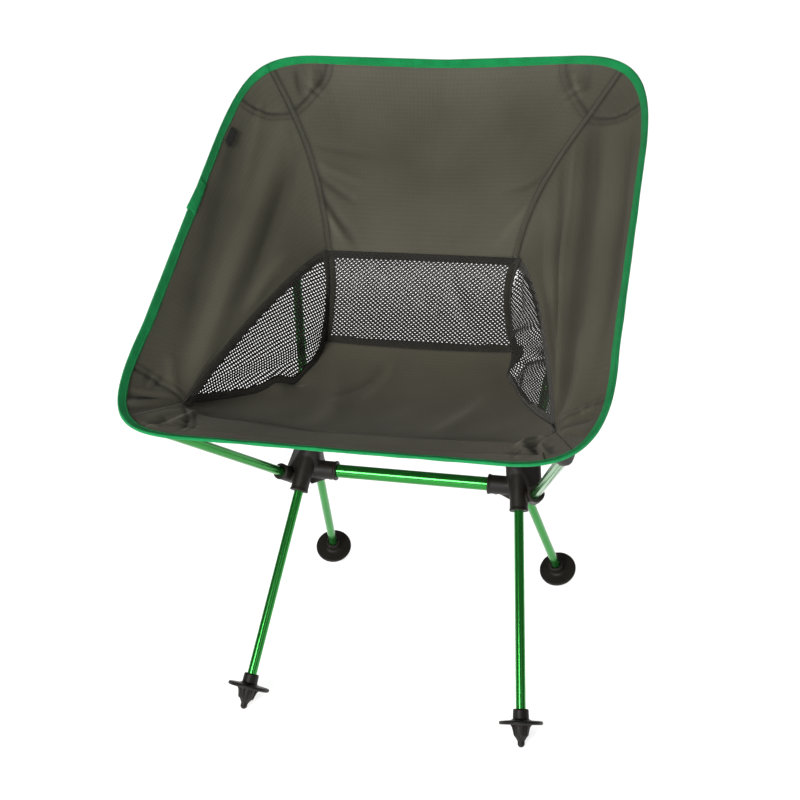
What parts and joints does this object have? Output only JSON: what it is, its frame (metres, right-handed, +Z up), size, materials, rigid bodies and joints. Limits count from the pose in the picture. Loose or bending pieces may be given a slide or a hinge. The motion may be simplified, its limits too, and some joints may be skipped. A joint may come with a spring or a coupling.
{
  "type": "ultralight backpacking chair",
  "caption": "Low folding camp chair: hubs on a crossbar carry shock-corded legs, arms and back poles, and a sling seat with mesh windows hangs from the pole tips.",
  "frame": {"origin": "on the floor, under the middle of the chair's box", "axes": "+Z up, the sitter faces -Y, +X to the right as seen from in front"},
  "size_m": [0.5, 0.5114, 0.6804],
  "materials": {
    "anodised_tube": "green anodised, bright",
    "bare_aluminium": "bare, satin",
    "hub_nylon": "moulded glass-filled nylon",
    "foot_nylon": "moulded glass-filled nylon",
    "tip_nylon": "moulded nylon",
    "steel_pin": "plain pin",
    "shock_cord": "braided cover over rubber",
    "panel_fabric": "ripstop polyester, grey",
    "mesh_fabric": "open polyester mesh",
    "seam_tape": "woven tape",
    "edge_binding": "twill binding tape, green",
    "pocket_fabric": "coated polyester",
    "tag_fabric": "blank woven label"
  },
  "bodies": {
    "frame": {"crossbar": "anodised_tube", "crossbar_pins": "steel_pin", "hub_left": "hub_nylon", "hub_right": "hub_nylon", "front_arm_left": "anodised_tube", "front_arm_right": "anodised_tube", "back_pole_lower_left": "anodised_tube", "back_pole_lower_right": "anodised_tube", "back_pole_upper_left": "anodised_tube", "back_pole_upper_right": "anodised_tube", "ferrule_left": "bare_aluminium", "ferrule_right": "bare_aluminium", "arm_tip_left": "tip_nylon", "arm_tip_right": "tip_nylon", "pole_tip_left": "tip_nylon", "pole_tip_right": "tip_nylon", "leg_cord_left": "shock_cord", "leg_cord_right": "shock_cord", "pole_cord_left": "shock_cord", "pole_cord_right": "shock_cord"},
    "front_leg_left_body": {"front_leg_left": "anodised_tube", "front_foot_left": "foot_nylon", "front_leg_stop_left": "tip_nylon"},
    "front_leg_right_body": {"front_leg_right": "anodised_tube", "front_foot_right": "foot_nylon", "front_leg_stop_right": "tip_nylon"},
    "rear_leg_left_body": {"rear_leg_left": "anodised_tube", "rear_foot_left": "foot_nylon", "rear_leg_stop_left": "tip_nylon"},
    "rear_leg_right_body": {"rear_leg_right": "anodised_tube", "rear_foot_right": "foot_nylon", "rear_leg_stop_right": "tip_nylon"},
    "seat_cover": {"seat_panel": "panel_fabric", "back_panel": "panel_fabric", "side_panel_left": "panel_fabric", "side_panel_right": "panel_fabric", "back_mesh": "mesh_fabric", "side_mesh_left": "mesh_fabric", "side_mesh_right": "mesh_fabric", "front_hem": "panel_fabric", "mesh_tape_back": "seam_tape", "mesh_tape_left": "seam_tape", "mesh_tape_right": "seam_tape", "seam_tape_left": "seam_tape", "seam_tape_right": "seam_tape", "edge_binding": "edge_binding", "arm_pocket_left": "pocket_fabric", "arm_pocket_right": "pocket_fabric", "pole_pocket_left": "pocket_fabric", "pole_pocket_right": "pocket_fabric", "side_tag": "tag_fabric"}
  },
  "joints": [
    {"name": "front_leg_left_pull", "type": "slide", "parent": "frame", "child": "front_leg_left_body", "axis": [-0.1119, -0.6041, -0.789], "range_m": [0, 0.03], "stiffness_N_per_m": 200, "springref_m": -0.04, "deforming": ["leg_cord_left"]},
    {"name": "front_leg_right_pull", "type": "slide", "parent": "frame", "child": "front_leg_right_body", "axis": [0.1119, -0.6041, -0.789], "range_m": [0, 0.03], "stiffness_N_per_m": 200, "springref_m": -0.04, "deforming": ["leg_cord_right"]},
    {"name": "rear_leg_left_pull", "type": "slide", "parent": "frame", "child": "rear_leg_left_body", "axis": [-0.1282, 0.5509, -0.8247], "range_m": [0, 0.03], "stiffness_N_per_m": 200, "springref_m": -0.04, "deforming": ["leg_cord_left"]},
    {"name": "rear_leg_right_pull", "type": "slide", "parent": "frame", "child": "rear_leg_right_body", "axis": [0.1282, 0.5509, -0.8247], "range_m": [0, 0.03], "stiffness_N_per_m": 200, "springref_m": -0.04, "deforming": ["leg_cord_right"]},
    {"name": "seat_lift", "type": "slide", "parent": "frame", "child": "seat_cover", "axis": [0, 0, 1], "range_m": [0, 0.12], "deforming": ["arm_pocket_left", "arm_pocket_right", "pole_pocket_left", "pole_pocket_right"]}
  ]
}
